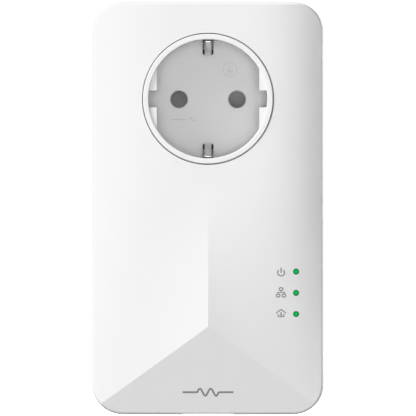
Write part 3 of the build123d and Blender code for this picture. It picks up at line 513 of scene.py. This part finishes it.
def add_marks():
    """Prints the marks on the front cover and raises those on the socket's floor."""
    symbols = (power_symbol(), network_symbol(), home_symbol())
    names = ("power_symbol", "network_symbol", "home_symbol")
    for name, strokes, (x, z) in zip(names, symbols, lamp_places()):
        place = (x - SYMBOL_LEFT_OF_LAMP, z)
        mark(name, "housing_white", INK, place, strokes, "front_cover")

    place = (0.0, COVER_LOW.z + MAKER_MARK_RISE)
    generic = [(line_with_a_wave(16.6, 7.0, 2.3), 0.6)]
    mark("maker_mark", "housing_white", DARK_INK, place, generic, "front_cover")

    raised = {"lift": 0.10 * MM, "thick": 0.16 * MM, "bevel": 0.04 * MM}
    moulded = {
        "earth_symbol": ((7.2, 9.8), earth_symbol()),
        "current_symbol": ((-5.1, -6.6), [(wave(2.6, 0.9), 0.26)]),
        "rating_bar": ((-9.6, -6.6), [([(-2.4, 0.0), (2.4, 0.0)], 0.26)]),
    }
    for name, ((x, z), strokes) in moulded.items():
        place = (x * MM, z * MM)
        # The raised marks carry painted shade: a darker colour for the shade along their edges.
        mark(name, "socket_white", POLISHED_WITH_PAINTED_SHADE, place, strokes, "socket_insert", **raised)


# ---------------------------------------------------------------- studio

WHITE_LEVEL = 2.0
CURVE = ((0.40, 0.80), (0.43, 0.87), (0.46, 0.925), (0.50, 0.95), (0.60, 0.97))
WORLD_SEEN, WORLD_IN_FRONT, WORLD_BEHIND = 2.5, 0.29, 0.40
FLOOR_DROP, FLOOR_HALF, FLOOR_GLOW = 0.5, 3.0, 0.65
LENS, SENSOR = 1000.0, 36.0
FRAME_OVER_HEIGHT = 1.006
# name, direction from the object, distance, side of the square, watts
SOFTBOXES = (
    ("key", (-1.1, -0.43, 0.97), 4.0, 1.3, 192.0),
    ("front", (0.0, -1.0, 0.0), 3.0, 1.0, 24.5),
    ("rear", (0.58, 0.81, 0.1), 3.0, 1.0, 30.0),
)


def tone_curve():
    """Rolls the highlights off, so that white plastic stays below the white background."""
    view = bpy.context.scene.view_settings
    view.view_transform = "Standard"
    view.use_curve_mapping = True
    mapping = view.curve_mapping
    mapping.white_level = (WHITE_LEVEL,) * 3
    curve = mapping.curves[3]
    curve.points[0].location = (0.0, 0.0)
    curve.points[-1].location = (1.0, 1.0)
    for x, y in CURVE:
        curve.points.new(x, y)
    mapping.update()


def softbox(name, target, direction, distance, size, power):
    """A square soft light at a distance from the target, facing it."""
    light = bpy.data.lights.new(name, "AREA")
    light.shape = "RECTANGLE"
    light.size = light.size_y = size
    light.energy = power
    lamp = bpy.data.objects.new(name, light)
    lamp.location = target + Vector(direction).normalized() * distance
    lamp.visible_camera = False
    aim = (target - lamp.location).to_track_quat("-Z", "Y")
    lamp.rotation_euler = aim.to_euler()
    bpy.context.scene.collection.objects.link(lamp)


def pale_world():
    """A white surround: dim in front of the object, bright behind it, white to the camera."""
    world = bpy.data.worlds.new("studio")
    world.use_nodes = True
    nodes, links = world.node_tree.nodes, world.node_tree.links
    nodes["Background"].inputs["Color"].default_value = (1.0, 1.0, 1.0, 1.0)
    direction = nodes.new("ShaderNodeTexCoord")
    parts = nodes.new("ShaderNodeSeparateXYZ")
    links.new(direction.outputs["Generated"], parts.inputs["Vector"])
    tent = nodes.new("ShaderNodeMapRange")
    tent.interpolation_type = "SMOOTHSTEP"
    links.new(parts.outputs["Y"], tent.inputs["Value"])
    span = {"From Min": 0.1, "From Max": 0.9, "To Min": WORLD_IN_FRONT, "To Max": WORLD_BEHIND}
    for name, value in span.items():
        tent.inputs[name].default_value = value
    path = nodes.new("ShaderNodeLightPath")
    level = nodes.new("ShaderNodeMapRange")
    level.inputs["To Max"].default_value = WORLD_SEEN
    links.new(path.outputs["Is Camera Ray"], level.inputs["Value"])
    links.new(tent.outputs["Result"], level.inputs["To Min"])
    links.new(level.outputs["Result"], nodes["Background"].inputs["Strength"])
    bpy.context.scene.world = world


def pale_floor():
    """A pale floor, lifted to near white where the camera sees it, and clear from below."""
    z = COVER_LOW.z - FLOOR_DROP
    data = bpy.data.meshes.new("floor")
    turns = ((-1, -1), (1, -1), (1, 1), (-1, 1))
    corners = [(x * FLOOR_HALF, y * FLOOR_HALF, z) for x, y in turns]
    data.from_pydata(corners, [], [(0, 1, 2, 3)])
    recipe = Recipe("pale_floor")
    speck = recipe.noise(0.02, 3.0)
    path = recipe.tree.nodes.new("ShaderNodeLightPath")
    side = recipe.tree.nodes.new("ShaderNodeNewGeometry")
    recipe.set(
        Alpha=recipe.span(side.outputs["Backfacing"], 1.0, 0.0),
        Base_Color=recipe.between(speck, (0.30, 0.30, 0.30), (0.32, 0.32, 0.32)),
        Roughness=recipe.span(speck, 0.6, 0.75),
        Emission_Color=(1.0, 1.0, 1.0, 1.0),
        Emission_Strength=recipe.span(path.outputs["Is Camera Ray"], 0.0, FLOOR_GLOW),
    )
    data.materials.append(recipe.material)
    floor = bpy.data.objects.new("floor", data)
    bpy.context.scene.collection.objects.link(floor)


def front_camera():
    """A long lens, straight on, that frames the housing's full height at its widest depth."""
    height = COVER_HIGH.z - COVER_LOW.z
    middle_z = (COVER_HIGH.z + COVER_LOW.z) / 2
    lens = bpy.data.cameras.new("front")
    lens.lens = LENS
    lens.sensor_width = SENSOR
    lens.clip_start, lens.clip_end = 0.1, 30.0
    camera = bpy.data.objects.new("front", lens)
    distance = height * FRAME_OVER_HEIGHT * LENS / SENSOR
    camera.location = (0.0, COVER_HIGH.y - distance, middle_z)
    camera.rotation_euler = (radians(90.0), 0.0, 0.0)
    bpy.context.scene.collection.objects.link(camera)
    bpy.context.scene.camera = camera


def studio():
    middle = (COVER_LOW + COVER_HIGH) / 2
    tone_curve()
    pale_world()
    pale_floor()
    for name, direction, distance, size, power in SOFTBOXES:
        softbox(name, middle, direction, distance, size, power)
    front_camera()


dress_cad_nodes()
for clip_side in ("upper", "lower"):
    crown_clip(clip_side)
add_marks()
studio()
